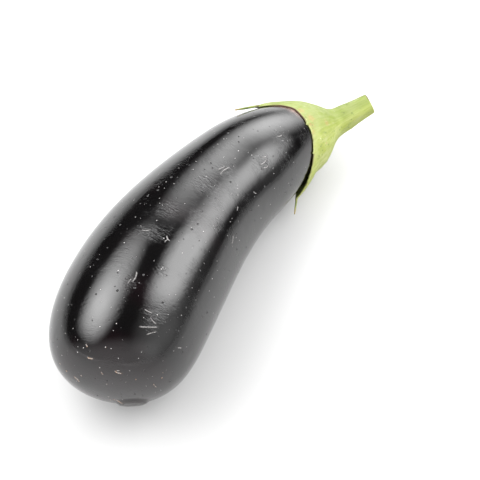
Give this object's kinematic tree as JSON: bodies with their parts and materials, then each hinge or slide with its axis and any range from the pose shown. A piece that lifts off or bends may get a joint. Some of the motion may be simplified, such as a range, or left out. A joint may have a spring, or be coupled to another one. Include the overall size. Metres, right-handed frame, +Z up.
{
  "type": "eggplant",
  "caption": "Long glossy purple-black eggplant with a green lobed calyx and a short cut stalk, lying on its side, for food, market and kitchen scenes.",
  "frame": {"origin": "middle of the footprint, on the surface that the eggplant lies on", "axes": "+X along the fruit from the blossom end to the stem end, +Y to the outer side of its bow, +Z up"},
  "size_m": [0.2282, 0.08, 0.0742],
  "materials": {
    "fruit_skin": "waxy natural gloss, purple-black",
    "calyx_green": "matte, finely fibrous, lime green with dried brown edges"
  },
  "bodies": {
    "root": {"fruit": "fruit_skin", "calyx_stem": "calyx_green"}
  },
  "joints": []
}
